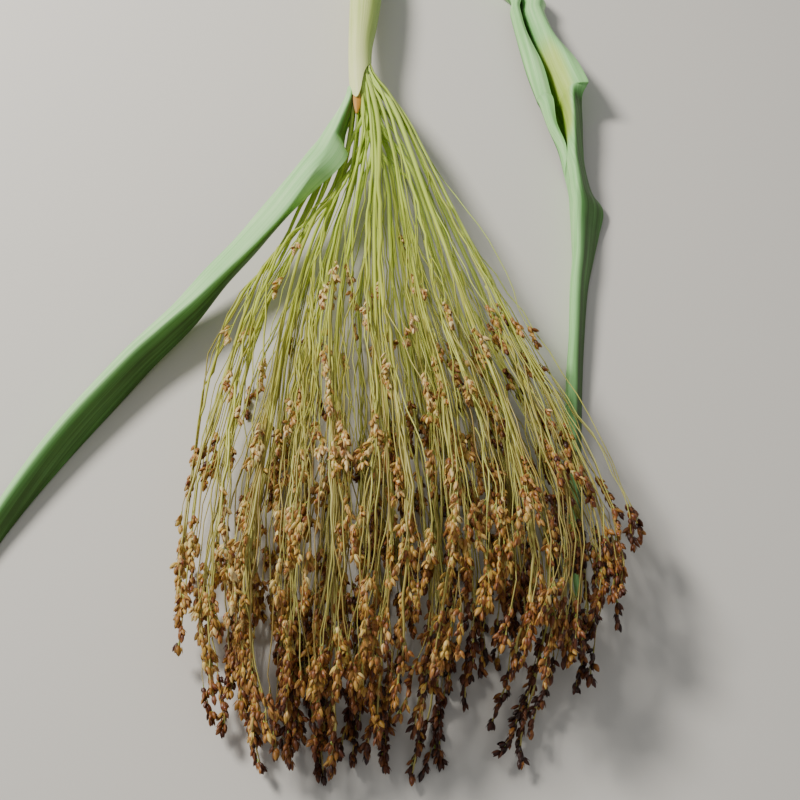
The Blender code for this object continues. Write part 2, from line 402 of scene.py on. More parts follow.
def build_piece(name, bundle, materials, node):
    """Make one object from a bundle. It rides on the part's one body and stands for a CAD node."""
    faces = bundle.gather("faces").astype(np.int32)
    points = bundle.gather("points").astype(np.float32)
    mesh = bpy.data.meshes.new(name)
    mesh.vertices.add(len(points))
    mesh.vertices.foreach_set("co", points.ravel())
    mesh.loops.add(faces.size)
    mesh.loops.foreach_set("vertex_index", faces.ravel())
    mesh.polygons.add(len(faces))
    mesh.polygons.foreach_set("loop_start", np.arange(0, faces.size, 4, dtype=np.int32))
    mesh.polygons.foreach_set("material_index", bundle.gather("material").astype(np.int32))
    mesh.update(calc_edges=True)
    mesh.uv_layers.new(name="OFBake").data.foreach_set(
        "uv", bundle.map_places().astype(np.float32).ravel()
    )
    for key in ("tone", "along"):
        layer = mesh.attributes.new(key, "FLOAT", "POINT")
        layer.data.foreach_set("value", bundle.gather(key).astype(np.float32))
    layer = mesh.attributes.new("grain", "FLOAT_VECTOR", "POINT")
    layer.data.foreach_set("vector", bundle.gather("grain").astype(np.float32).ravel())
    mesh.shade_smooth()
    for material in materials:
        mesh.materials.append(material)
    piece = add_to_scene(name, mesh)
    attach(piece, "root")
    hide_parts(node)


def strip_faces(rows, columns, closed):
    """Faces of a grid of points, closed round each row or not, and their corner places from 0 to 1."""
    steps = columns if closed else columns - 1
    row, column = np.meshgrid(np.arange(rows - 1), np.arange(steps), indexing="ij")
    row, column = row.ravel(), column.ravel()
    after = (column + 1) % columns
    faces = np.stack(
        [
            row * columns + column,
            row * columns + after,
            (row + 1) * columns + after,
            (row + 1) * columns + column,
        ],
        axis=1,
    )
    u = np.stack([row, row, row + 1, row + 1], axis=1) / (rows - 1)
    v = np.stack([column, column + 1, column + 1, column], axis=1) / steps
    return faces, np.stack([u, v], axis=2)


def add_tube(bundle, path, radii, sides, material, tone, along):
    """A round stem along a path. It closes to nearly a point at each end."""
    path = np.vstack([path[:1], path, path[-1:]])
    radii = np.concatenate([[0.02 * MM], radii, [0.02 * MM]])
    along = np.concatenate([along[:1], along, along[-1:]])
    tangent = unit(np.gradient(path, axis=0) + 1e-9)
    tangent[0], tangent[-1] = tangent[1], tangent[-2]
    side = unit(np.cross(tangent, (0.12, 0.08, 1.0)))
    top = np.cross(side, tangent)
    angle = np.linspace(0.0, 2 * math.pi, sides, endpoint=False)
    ring = side[:, None] * np.cos(angle)[:, None] + top[:, None] * np.sin(angle)[:, None]
    points = path[:, None] + ring * radii[:, None, None]
    grain = np.zeros((len(path), sides, 3))
    grain[..., 0] = angle * radii.max()
    grain[..., 1] = run_along(path)[:, None]
    grain[..., 2] = path[0, 0] * 31.0 + path[0, 1] * 17.0
    faces, corners = strip_faces(len(path), sides, True)
    bundle.add(
        points.reshape(-1, 3),
        faces,
        material,
        tone,
        np.repeat(along, sides),
        grain.reshape(-1, 3),
        corners,
        0,
        "strip",
    )


# One spikelet: two husks round a grain, a slender barren partner, and their short foot

# Places of the materials on a branch
HUSK, GRAIN, STEM = 0, 1, 2
# Most spikelets are shut, the ripest gape
GAPES = (0.0, 5.0, 12.0)
GAPE_SHARES = (0.52, 0.33, 0.15)


def glume(length, width, gape, side):
    """A boat-shaped husk. gape tips it away from the grain, side is 1 or -1."""
    share = np.array((0.0, 0.16, 0.40, 0.68, 0.88, 1.0))
    wide = width * np.array((0.30, 0.82, 1.0, 0.80, 0.40, 0.04))
    angle = np.radians(np.linspace(-86, 86, 5))
    x = wide[:, None] * np.sin(angle)
    z = side * (wide[:, None] * np.cos(angle) * 0.80 + share[:, None] * length * math.sin(gape))
    y = np.repeat(share[:, None] * length * math.cos(gape), len(angle), axis=1)
    return np.stack([x, y, z], axis=2)


def lathe(length, shares, widths, sides, start):
    """A round form along +Y. shares of its length and widths are its outline."""
    share = np.array(shares)
    wide = np.array(widths)
    angle = np.linspace(0.0, 2 * math.pi, sides, endpoint=False)
    x = wide[:, None] * np.cos(angle)
    z = wide[:, None] * np.sin(angle)
    y = np.repeat((start + share * length)[:, None], sides, axis=1)
    return np.stack([x, y, z], axis=2)


def spikelet_shape(gape):
    """Grids of points for one spikelet, one unit long, pointing to +Y, with each grid's material."""
    grain = lathe(0.78, (0.0, 0.25, 0.6, 0.88, 1.0), (0.06, 0.17, 0.205, 0.13, 0.01), 6, 0.06)
    partner = lathe(0.72, (0.0, 0.4, 1.0), (0.035, 0.065, 0.006), 3, 0.02)
    partner[..., 0] += 0.20 + 0.22 * partner[..., 1]
    foot = lathe(0.40, (0.0, 1.0), (0.045, 0.06), 3, -0.32)
    return (
        (glume(0.98, 0.245, gape, 1), False, HUSK),
        (glume(0.92, 0.235, gape * 0.8, -1), False, HUSK),
        (grain, True, GRAIN),
        (partner, True, HUSK),
        (foot, True, STEM),
    )


def spikelet_template(gape):
    """All of one spikelet's points, faces, face materials, values along it and map corners."""
    points, faces, materials, corners, grain = [], [], [], [], []
    count = 0
    shapes = spikelet_shape(gape)
    for number, (grid, closed, material) in enumerate(shapes):
        rows, columns = grid.shape[:2]
        found, places = strip_faces(rows, columns, closed)
        places = places[..., ::-1].copy()
        places[..., 0] = (number + 0.03 + 0.94 * places[..., 0]) / len(shapes)
        points.append(grid.reshape(-1, 3))
        faces.append(found + count)
        materials.append(np.full(len(found), material))
        corners.append(places)
        across = np.broadcast_to(np.arange(columns) / columns, (rows, columns))
        own = np.stack([across * 4 * MM, grid[..., 1] * 5 * MM, grid[..., 2] * 0], axis=2)
        grain.append(own.reshape(-1, 3))
        count += rows * columns
    return [np.concatenate(found) for found in (points, faces, materials, corners, grain)]


TEMPLATES = [spikelet_template(math.radians(gape)) for gape in GAPES]


def add_spikelets(bundle, places, rng):
    """Set a spikelet at each place. A place is base point, direction, length and tone."""
    places = np.array(places)
    base, direction, length, tone = places[:, :3], unit(places[:, 3:6]), places[:, 6], places[:, 7]
    number = len(places)
    _, faces, materials, corners, grain = TEMPLATES[0]
    kind = rng.choice(len(TEMPLATES), number, p=GAPE_SHARES)
    shape = np.stack([template[0] for template in TEMPLATES])[kind]
    spin = unit(np.cross(direction, rng.normal(size=(number, 3))))
    third = np.cross(spin, direction)
    turn = np.stack([spin, direction, third], axis=2)
    stout = rng.uniform(0.88, 1.12, (number, 1, 1))
    shape = shape * np.concatenate([stout, np.ones_like(stout), stout], axis=2)
    points = np.einsum("nij,nkj->nki", turn, shape) * length[:, None, None] + base[:, None]
    points[..., 2] = np.maximum(points[..., 2], 0.15 * MM)
    size = shape.shape[1]
    offset = (np.arange(number) * size)[:, None, None]
    own = np.zeros((number, size, 3))
    own[..., 2] = rng.uniform(0, 9, (number, 1))
    bundle.add(
        points.reshape(-1, 3),
        (faces[None] + offset).reshape(-1, 4),
        np.tile(materials, number),
        np.repeat(tone, size),
        np.tile(np.clip(shape[0, :, 1], 0, 1), number),
        (grain[None] + own).reshape(-1, 3),
        np.tile(corners, (number, 1, 1)),
        np.repeat(np.arange(number), len(faces)),
        "cell",
    )


# The brush


def lane_of(name):
    """The middle line of a branch's place in the brush: distance from the first whorl, x and z."""
    points = node_points(name)
    rows = []
    for y in np.unique(np.round(points[:, 1], 4))[::-1]:
        ring = points[np.abs(points[:, 1] - y) < 1e-4]
        low, high = ring.min(axis=0), ring.max(axis=0)
        rows.append((WHORL[1] - y, (low[0] + high[0]) / 2, (low[2] + high[2]) / 2))
    rows.sort()
    return np.maximum(rows, (0.0, -9.0, 0.0))


BRANCHES = sorted(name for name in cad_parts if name.startswith("brush_branch_"))
LANES = {name: lane_of(name) for name in BRANCHES}


def brush_span():
    """Rows of distance, left edge and right edge of all the lanes together."""
    rows = []
    for distance in np.linspace(0.0, 0.36, 13):
        x = [np.interp(distance, lane[:, 0], lane[:, 1]) for lane in LANES.values()]
        rows.append((distance, min(x), max(x)))
    return np.array(rows)


SPAN = brush_span()


# Where the earliest ears may end, and the length over which a strand gives way to the leaf above it
FIRST_EARS = 0.150
GIVE = 0.045
# The brush as it spreads over the table: distance, left edge and right edge from the first whorl
SPREAD = (
    (0.000, -0.0050, 0.0060),
    (0.014, -0.0058, 0.0120),
    (0.060, -0.0140, 0.0315),
    (0.100, -0.0250, 0.0450),
    (0.140, -0.0410, 0.0590),
    (0.180, -0.0545, 0.0730),
    (0.225, -0.0655, 0.0880),
    (0.260, -0.0710, 0.1010),
    (0.290, -0.0755, 0.1090),
    (0.320, -0.0785, 0.1140),
    (0.350, -0.0795, 0.1140),
    (0.380, -0.0780, 0.1100),
    (0.410, -0.0710, 0.1010),
    (0.434, -0.0620, 0.0900),
)


def bunched(x, distance):
    """Lanes spread over the table and drawn together into a few bundles."""
    left, right = (np.interp(distance, SPAN[:, 0], SPAN[:, column]) for column in (1, 2))
    share = (2 * x - left - right) / (right - left)
    strength = 0.040 * smooth_step((distance - 0.03) / 0.10) * smooth_step((0.37 - distance) / 0.15)
    share = share + strength * np.sin(2 * math.pi * 3.4 * (share - 0.17))
    left, right = read_rows(SPREAD, distance).T + WHORL[0]
    return (left + right) / 2 + share * (right - left) / 2


def strand_path(lane, distance, rng, swing):
    """Points down a branch's lane, with slow and quick swings that grow towards the tip."""
    x, z = read_rows(lane, distance).T
    away = smooth_step((distance - lane[0, 0]) / 0.15)
    for size, wave in ((1.3 * MM, rng.uniform(0.08, 0.16)), (0.5 * MM, rng.uniform(0.022, 0.040))):
        phase = rng.uniform(0, 2 * math.pi, 2)
        turn = 2 * math.pi * distance / wave
        reach = swing * size * away * (0.3 + 1.1 * (distance / BRUSH_LENGTH) ** 2)
        x = x + reach * np.sin(turn + phase[0])
        z = z + 0.7 * reach * np.sin(turn + phase[1])
    return np.stack([x, WHORL[1] - distance, z], axis=1)


# Where the flag leaf lies over the strands: distance, then x of its left and right edge, and how high
# a strand may pass under it
LEAF_COVER = (
    (0.000, -0.0050, 0.0056, 0.0252),
    (0.008, -0.0050, 0.0034, 0.0252),
    (0.020, -0.0046, 0.0014, 0.0250),
    (0.030, -0.0040, 0.0004, 0.0244),
    (0.040, -0.0050, -0.0016, 0.0236),
    (0.052, -0.0085, -0.0020, 0.0232),
    (0.070, -0.0130, -0.0010, 0.0226),
    (0.084, -0.0180, -0.0020, 0.0222),
    (0.096, -0.0235, -0.0060, 0.0218),
    (0.110, -0.0330, -0.0150, 0.0205),
    (0.128, -0.0500, -0.0290, 0.0170),
    (0.150, -0.0700, -0.0430, 0.0130),
)


def settle(path, distance):
    """Bunch a strand with its neighbours, pass it under the flag leaf and keep it above the surface."""
    path[:, 0] = bunched(path[:, 0], distance)
    left, right, ceiling = read_rows(LEAF_COVER, distance).T
    x = path[:, 0] - WHORL[0]
    path[:, 0] += np.maximum(left - x, 0.0)
    under = smooth_step((right - x) / (4 * MM) + 1.0) * smooth_step((0.162 - distance) / 0.02)
    over = under * np.maximum(path[:, 2] - ceiling, 0.0)
    near = 1.0 - smooth_step(np.abs(distance[:, None] - distance) / GIVE)
    path[:, 2] -= (over * near).max(axis=1)
    path[:, 2] = np.maximum(path[:, 2], 1.2 * MM)
    return path


def seed_tone_and_painted_light(point, rng):
    """A random tone with painted light and shade: paler on top and to the left where the light falls,
    darker and browner underneath, to the right and towards the tips where painted shade falls.
    """
    side = (point[0] - WHORL[0] - 0.012) / 0.10
    height = point[2] / 0.050
    down = (WHORL[1] - point[1] - 0.24) / 0.19
    # painted light on top and to the left, painted shade underneath, to the right and low in the brush;
    # the normal term is the seeds' own random tone
    return 0.57 + 0.46 * (height - 0.5) - 0.17 * side - 0.26 * down + rng.normal(0, 0.16)


def share_of(lane):
    """Where a lane lies across the brush, from -1 at its left edge to 1 at its right edge."""
    distance = 0.3
    left, right = (np.interp(distance, SPAN[:, 0], SPAN[:, column]) for column in (1, 2))
    return (2 * np.interp(distance, lane[:, 0], lane[:, 1]) - left - right) / (right - left)


def tip_of(lane):
    """Distance of a branch's tip: two shoulders hang lower than the lanes, with a notch between."""
    share = share_of(lane)
    end = lane[-1, 0] - 0.006
    for lower, middle, width in ((0.020, -0.65, 0.28), (0.024, 0.72, 0.14), (-0.018, 0.46, 0.12)):
        end += lower * math.exp(-(((share - middle) / width) ** 2))
    return end


class Branch:
    """One branch of the brush as it grows, with the spikelets still to be set on it."""

    def __init__(self, name, number, settings):
        self.rng = np.random.default_rng(settings.seed * 1000 + number)
        self.settings = settings
        self.lane = LANES[name]
        self.end = tip_of(self.lane)
        # 1 on the left edge, where the ears are fewer, smaller and lower
        self.sparse = smooth_step((-0.60 - share_of(self.lane)) / 0.30)
        self.bundle = Bundle()
        self.places = []

    def set_spikelet(self, point, direction, size, lift=0.0):
        """size and lift are shares, of the usual length and of the spikelet's own."""
        length = size * self.settings.spikelet_length
        base = point + direction * length * lift
        self.places.append((*base, *direction, length, seed_tone_and_painted_light(point, self.rng)))

    def add_twig(self, start, along, length, reach):
        """A short side twig of an ear, with its spikelets on alternate sides."""
        rng = self.rng
        angle = math.radians(rng.uniform(8, 32))
        off = unit(np.cross(along, rng.normal(size=3)))
        heading = unit(along * math.cos(angle) + off * math.sin(angle))
        run = np.linspace(0.0, length, 4)
        path = start + heading * run[:, None] - off * (0.25 * run**2 / length)[:, None]
        path[:, 2] = np.maximum(path[:, 2], 0.9 * MM)
        radii = np.linspace(0.24, 0.16, 4) * MM
        add_tube(self.bundle, path, radii, 3, STEM, rng.uniform(0.1, 0.6), np.full(4, reach))
        place = length * rng.uniform(0.25, 0.5)
        side = 1.0
        while place < length:
            point = start + (path[-1] - start) * place / length
            splay = math.radians(rng.uniform(8, 28))
            lateral = unit(np.cross(heading, (0.0, 0.0, 1.0)) + 0.7 * rng.normal(size=3)) * side
            direction = heading * math.cos(splay) + lateral * math.sin(splay)
            self.set_spikelet(point, direction, rng.uniform(0.85, 1.15), 0.25)
            place += rng.uniform(1.7, 2.5) * MM
            side = -side
        self.set_spikelet(path[-1], unit(path[-1] - path[-2]), rng.uniform(0.925, 1.2))

    def add_ear(self, path, length, reach):
        """The seeded end of a strand: twigs close together along its last stretch."""
        run = run_along(path)
        tangent = unit(np.gradient(path, axis=0))
        place = run[-1] - length
        while place < run[-1] - 2 * MM:
            point, along = (
                np.array([np.interp(place, run, rows[:, axis]) for axis in range(3)])
                for rows in (path, tangent)
            )
            self.add_twig(point, along, self.rng.uniform(3, 7) * MM, reach)
            place += self.rng.uniform(2.8, 5.2) * MM
        self.set_spikelet(path[-1], tangent[-1], 1.1)

    def add_main_strand(self):
        rng = self.rng
        distance = np.linspace(self.lane[0, 0], self.end, 44)
        path = settle(strand_path(self.lane, distance, rng, 1.0), distance)
        thick = self.settings.strand_width * rng.uniform(0.62, 1.25)
        radii = 0.5 * thick * (1.0 - 0.74 * np.clip(distance / self.end, 0.0, 1.0) ** 0.9)
        radii *= 0.6 + 0.4 * smooth_step(distance / 0.045)
        tone = float(np.clip(rng.normal(0.72, 0.2), 0.05, 1.0))
        add_tube(self.bundle, path, radii, 7, STEM, tone, distance / BRUSH_LENGTH)
        self.add_ear(path, rng.uniform(22, 40) * MM, 1.0)

    def add_side_strand(self):
        """A fine strand that forks from the branch, runs beside it and ends in an ear."""
        rng = self.rng
        finish_at = FIRST_EARS + (self.end - FIRST_EARS) * rng.beta(2.5 + 1.5 * self.sparse, 1.05)
        fork = max(self.lane[0, 0] + 0.012, finish_at - rng.uniform(0.06, 0.20))
        lead_in = np.linspace(fork - GIVE, fork, 6)[:-1]
        distance = np.concatenate([lead_in, np.linspace(fork, finish_at, 16)])
        share = np.clip((distance - fork) / (finish_at - fork), 0.0, 1.0)
        path = strand_path(self.lane, distance, rng, 1.2)
        angle = rng.uniform(0, 2 * math.pi)
        out = rng.uniform(1.5, 11.0) * MM * smooth_step((distance - fork) / 0.14)
        out = out * rng.choice((1.0, 2.0), p=(0.88, 0.12))
        path[:, 0] += out * math.cos(angle)
        path[:, 2] += 0.75 * out * math.sin(angle)
        path[:, 0] += rng.normal(0, 1.6 * MM) * share**4
        path = settle(path, distance)[len(lead_in) :]
        distance = distance[len(lead_in) :]
        thick = self.settings.strand_width * rng.uniform(0.22, 0.40)
        radii = 0.5 * thick * (1.0 - 0.5 * share[len(lead_in) :])
        tone = float(np.clip(rng.normal(0.55, 0.25), 0.0, 1.0))
        add_tube(self.bundle, path, radii, 4, STEM, tone, distance / BRUSH_LENGTH)
        dense = np.clip((finish_at - 0.20) / 0.18, 0, 1)
        length = rng.uniform(9, 15 + 13 * dense) * MM * (1 - 0.35 * self.sparse)
        self.add_ear(path, length, finish_at / BRUSH_LENGTH)

    def grow(self):
        self.add_main_strand()
        for _ in range(round(self.settings.side_strands * (1.0 - 0.68 * self.sparse))):
            self.add_side_strand()
        add_spikelets(self.bundle, self.places, self.rng)


def make_branch(name, number, materials, settings):
    branch = Branch(name, number, settings)
    branch.grow()
    build_piece(f"seeded_branch_{number:02d}", branch.bundle, materials, name)


# The leaves


def half_section(width, curl, fold, number):
    """Sideways and downward run of half a leaf from its midrib. fold is the share bent at the midrib."""
    share = np.linspace(0.0, 1.0, 40)
    bend = math.radians(curl) * (fold * (1 - np.exp(-share / 0.06)) + (1 - fold) * share)
    step = width / (len(share) - 1)
    side = np.concatenate([[0.0], np.cumsum(np.cos((bend[1:] + bend[:-1]) / 2)) * step])
    drop = np.concatenate([[0.0], np.cumsum(np.sin((bend[1:] + bend[:-1]) / 2)) * step])
    at = np.linspace(0.0, 1.0, number)
    return np.interp(at, share, side), np.interp(at, share, drop)


def arc_section(row, columns):
    """Points across a curled sheet. row: midrib x, y, z, left width and right width, left curl and
    right curl, roll, heading and fold."""
    x, y, z, left, right, curl_left, curl_right, roll, heading, fold = row
    turn, way = math.radians(roll), math.radians(heading)
    along = np.array((math.sin(way), -math.cos(way), 0.0))
    level = np.cross((0.0, 0.0, 1.0), along)
    upright = np.array((0.0, 0.0, 1.0))
    half = columns // 2 + 1
    side_left, drop_left = half_section(left, curl_left, fold, half)
    side_right, drop_right = half_section(right, curl_right, fold, half)
    side = np.concatenate([-side_left[:0:-1], side_right])[:, None]
    drop = np.concatenate([drop_left[:0:-1], drop_right])[:, None]
    across = level * math.cos(turn) + upright * math.sin(turn)
    top = upright * math.cos(turn) - level * math.sin(turn)
    return np.array((x, y, z)) + across * side - top * drop


def resample(sections, along_count, across_count):
    """A fine smooth grid through a coarse one."""
    rows, columns = sections.shape[:2]
    keyed = np.hstack([np.arange(rows)[:, None], sections.reshape(rows, -1)])
    fine = read_rows(keyed, np.linspace(0, rows - 1, along_count)).reshape(along_count, columns, 3)
    turned = fine.transpose(1, 0, 2).reshape(columns, -1)
    keyed = np.hstack([np.arange(columns)[:, None], turned])
    fine = read_rows(keyed, np.linspace(0, columns - 1, across_count))
    return fine.reshape(across_count, along_count, 3).transpose(1, 0, 2)


def sheet_grain(grid):
    """Distances across a sheet from its midrib and along it."""
    wide = np.linalg.norm(np.diff(grid, axis=1), axis=2)
    across = np.concatenate([np.zeros((len(grid), 1)), np.cumsum(wide, axis=1)], axis=1)
    across -= across[:, -1:] / 2
    run = run_along(grid[:, grid.shape[1] // 2])
    return np.stack([across, np.broadcast_to(run[:, None], across.shape), across * 0], axis=2)


def sheet_skins(grid, thickness):
    """The upper and the under skin of a sheet, kept off the surface it lies on."""
    normal = unit(np.cross(np.gradient(grid, axis=0), np.gradient(grid, axis=1)))
    skins = []
    for lift in (1, -1):
        skin = grid + normal * thickness / 2 * lift
        skin[..., 2] = np.maximum(skin[..., 2], 0.1 * MM + 0.1 * MM * lift)
        skins.append(skin)
    return skins


def add_rim(bundle, skins, tone, warmth, grain, material):
    """The edge between two skins, all the way round."""
    rows, columns = skins[0].shape[:2]
    border = np.concatenate(
        [
            np.arange(columns - 1),
            np.arange(rows - 1) * columns + columns - 1,
            (rows - 1) * columns + np.arange(columns - 1, 0, -1),
            np.arange(rows - 1, 0, -1) * columns,
        ]
    )
    size = len(border)
    index = np.arange(size)
    after = (index + 1) % size
    place = np.stack([index, index, index + 1, index + 1], axis=1) / size
    level = np.broadcast_to(np.array((0.0, 1.0, 1.0, 0.0)), place.shape)
    bundle.add(
        np.concatenate([skin.reshape(-1, 3)[border] for skin in skins]),
        np.stack([index, index + size, after + size, after], axis=1),
        material,
        np.tile(tone[border], 2),
        np.tile(warmth[border], 2),
        np.tile(grain.reshape(-1, 3)[border], (2, 1)),
        np.stack([place, level], axis=2),
        0,
        "strip",
    )


def add_sheet(bundle, grid, tone, warmth, thickness, material):
    """A thin closed sheet. tone and warmth are pairs, for its upper and its under skin."""
    rows, columns = grid.shape[:2]
    grain = sheet_grain(grid)
    faces, corners = strip_faces(rows, columns, False)
    skins = sheet_skins(grid, thickness)
    values = [np.broadcast_to(value, (rows, columns)).ravel() for value in (*tone, *warmth)]
    for under, skin in enumerate(skins):
        order = slice(None, None, -1) if under else slice(None)
        bundle.add(
            skin.reshape(-1, 3),
            faces[:, order],
            material,
            values[under],
            values[2 + under],
            (grain + (0, 0, 0.7 * under)).reshape(-1, 3),
            corners[:, order],
            0,
            "strip",
        )
    add_rim(bundle, skins, values[0], values[2], grain, material)


# Flag leaf. Sheath rows: y from the first whorl, middle x and radius. It wraps the stalk.
FLAG_SHEATH = (
    (0.262, 0.0000, 0.0084),
    (0.205, 0.0002, 0.0088),
    (0.150, 0.0004, 0.0095),
    (0.085, 0.0012, 0.0100),
    (0.050, 0.0000, 0.0088),
    (0.014, -0.0014, 0.0068),
    (-0.008, -0.0008, 0.0066),
    (-0.034, 0.0008, 0.0062),
)
# How far the sheath's open end falls back from its point, from its left margin to its right margin
FLAG_MOUTH = (
    (-1.0, 0.034),
    (-0.40, 0.012),
    (-0.10, 0.003),
    (0.0, 0.0),
    (0.20, 0.006),
    (0.34, 0.020),
    (0.50, 0.029),
    (0.70, 0.034),
    (1.0, 0.050),
)
# The ligule, a papery tongue under the sheath's point: y, middle x, z and half width
LIGULE = (
    (-0.028, -0.0022, 0.0262, 0.0018),
    (-0.034, -0.0020, 0.0262, 0.0022),
    (-0.040, -0.0018, 0.0256, 0.0019),
    (-0.046, -0.0018, 0.0250, 0.0006),
)
# Blade rows: midrib x, y, z, left and right width, left and right curl, roll, heading and fold
FLAG_BLADE = (
    (-0.0054, -0.020, 0.0236, 0.0028, 0.0030, 45, 80, 4, -16, 0.3),
    (-0.0062, -0.034, 0.0270, 0.0040, 0.0052, 45, 90, 2, -20, 0.5),
    (-0.0090, -0.052, 0.0312, 0.0064, 0.0088, 45, 95, 0, -24, 0.6),
    (-0.0126, -0.070, 0.0345, 0.0098, 0.0128, 50, 85, -3, -27, 0.6),
    (-0.0150, -0.082, 0.0362, 0.0114, 0.0124, 52, 36, -6, -30, 0.4),
    (-0.0184, -0.095, 0.0364, 0.0130, 0.0110, 52, 30, -12, -35, 0.3),
    (-0.0254, -0.110, 0.0350, 0.0155, 0.0078, 56, 60, -20, -40, 0.5),
    (-0.0372, -0.131, 0.0310, 0.0180, 0.0078, 60, 96, -26, -43, 0.6),
    (-0.0512, -0.150, 0.0276, 0.0182, 0.0086, 60, 100, -22, -42, 0.6),
    (-0.0660, -0.168, 0.0250, 0.0188, 0.0122, 60, 104, -16, -41, 0.6),
    (-0.0820, -0.187, 0.0226, 0.0196, 0.0160, 60, 102, -8, -41, 0.6),
    (-0.0986, -0.2045, 0.0204, 0.0190, 0.0180, 62, 98, -4, -40, 0.6),
    (-0.1140, -0.223, 0.0184, 0.0190, 0.0185, 64, 94, -2, -38, 0.6),
    (-0.1400, -0.262, 0.0156, 0.0160, 0.0170, 66, 88, 0, -32, 0.6),
    (-0.1615, -0.304, 0.0112, 0.0110, 0.0125, 68, 84, 0, -24, 0.6),
    (-0.1755, -0.340, 0.0064, 0.0062, 0.0070, 66, 78, 0, -18, 0.5),
    (-0.1812, -0.358, 0.0022, 0.0012, 0.0012, 50, 60, 0, -15, 0.3),
)
# Second leaf, where it leaves the stalk: the same columns as the flag leaf's blade
SECOND_START = (
    (0.0106, 0.262, 0.0113, 0.0262, 0.0262, 142, 142, -104, 0, 0),
    (0.0106, 0.236, 0.0122, 0.0262, 0.0262, 142, 142, -104, 0, 0),
    (0.0110, 0.214, 0.0128, 0.0250, 0.0250, 132, 132, -108, 8, 0),
    (0.0150, 0.194, 0.0104, 0.0165, 0.0165, 84, 84, -118, 30, 0),
    (0.0340, 0.169, 0.0080, 0.0150, 0.0150, 80, 80, -134, 44, 0),
    (0.0640, 0.138, 0.0046, 0.0170, 0.0170, 100, 100, -156, 42, 0),
)
# Then sections across it, in millimetres: y, then x and z from its left edge to its right edge
SECOND_SECTIONS = (
    (92, 99.0, 13.5, 96.5, 14.5, 94.0, 8.0, 98.5, 1.0, 101, 8, 105.5, 13, 111, 14.5, 115.5, 9),
    (70, 101.5, 13.5, 99, 14.5, 96.0, 8.0, 100.5, 1.0, 104, 7.5, 108.5, 13, 114, 15, 118, 10),
    (45, 104.5, 13.5, 101.8, 14.5, 98.6, 8, 103, 1.0, 108.5, 5.5, 113, 13, 118.5, 16.5, 122.5, 12),
    (13, 112, 14, 107, 15, 102.4, 8, 107.2, 1.2, 115, 5, 120, 13, 126.5, 19, 132, 18),
    (-12, 115, 13.2, 110.8, 14, 106.8, 8, 111.5, 1.2, 119, 4.5, 123.5, 14.5, 129.5, 20.8, 136.4, 22),
    (-14.5, 115.3, 13, 111.2, 13.8, 107.3, 8, 111.8, 1.2, 119.3, 4.5, 123.6, 14.6, 128, 20.6, 136.2, 20),
    (-20, 116.5, 12.5, 112.5, 13, 109, 7.5, 113.6, 1.2, 121, 4, 124.2, 14.5, 126.8, 20, 133.2, 15),
    (-38, 117.0, 11, 114.6, 11.5, 112.4, 6.5, 117, 1.2, 122.5, 5, 123.8, 14, 126.5, 19, 132.6, 9),
    (-56, 121.3, 9, 119, 8.5, 117.2, 5, 119, 1.2, 122, 5, 122.6, 13, 125.5, 17.5, 131.5, 7),
    (-72, 120.9, 5, 119.8, 4, 119.4, 2.5, 119.8, 1.6, 120.4, 6, 121.4, 12.5, 124.6, 16.5, 131.2, 6),
    (-91, 124, 0.8, 122.6, 0.8, 121.4, 1, 120.6, 3, 120.4, 8, 121.4, 13, 125.2, 15.5, 133.5, 4.5),
    (-105, 124, 0.8, 122.4, 0.8, 121, 1, 120, 3, 119.8, 8, 120.8, 12.5, 124.6, 14.5, 138.6, 3.8),
    (-123, 123.4, 0.8, 121.6, 0.8, 120.2, 1, 119.2, 3, 118.8, 8, 119.6, 12, 123.2, 13.5, 134.5, 2.5),
    (-143, 122, 0.8, 120.3, 0.8, 118.9, 1, 117.9, 3, 117.5, 7.5, 118.3, 11.3, 121.6, 12.5, 129.2, 2),
    (-164, 119, 0.8, 117.3, 0.8, 115.9, 1, 115, 3, 114.4, 7, 115.2, 10.5, 118.6, 11.3, 124.2, 1.6),
    (-197, 116, 0.8, 114, 0.8, 112.5, 1, 111.6, 3, 111, 6, 111.6, 9.2, 114.8, 9.8, 119.2, 1.6),
    (-228, 112, 0.8, 110, 0.8, 108.2, 0.9, 107.2, 2.5, 107, 5.5, 108, 8, 111.4, 8.4, 115.2, 1.6),
    (-272, 109, 0.8, 107, 0.8, 105, 0.9, 103.6, 2, 103.2, 4.6, 104.4, 6.6, 107.2, 7, 110.6, 1.5),
    (-325, 105, 0.8, 103.8, 0.8, 102.6, 0.9, 101.6, 1.6, 101.4, 3.2, 102.2, 4.6, 104, 4.8, 106, 1.4),
    (-350, 102.6, 0.8, 102.4, 0.8, 102.2, 0.9, 102, 1, 102, 1.2, 102.2, 1.4, 102.4, 1.4, 102.6, 1.2),
)


def stalk_height(y):
    """Height of the stalk's axis at a distance behind the first whorl."""
    return WHORL_HEIGHT + (CUT_HEIGHT - WHORL_HEIGHT) * np.clip(y / STALK_LENGTH, 0.0, 1.0)


def sheath_grid(rows, mouth, roll, curl, along_count, across_count):
    """A sheath's sheet. mouth's rows give how far each part of its end falls back from the last row."""
    w = np.linspace(-1.0, 1.0, across_count)
    first, last = rows[0][0], rows[-1][0]
    share = np.linspace(0.0, 1.0, along_count)[:, None]
    y = first + (last + read_rows(mouth, w)[:, 0] - first) * share
    keys = -y.ravel()
    middle, radius = read_rows([(-row[0], *row[1:]) for row in rows], keys).T
    middle, radius = middle.reshape(y.shape), radius.reshape(y.shape)
    angle = math.radians(90 + roll) - np.radians(curl) * w
    overlap = 1.0 + 0.05 * w
    x = middle + radius * overlap * np.cos(angle)
    z = stalk_height(y) + radius * overlap * np.sin(angle)
    return np.stack([x, y, z], axis=2) + WHORL


# Places of the materials on a leaf
BLADE, SHEATH, TONGUE = 0, 1, 2


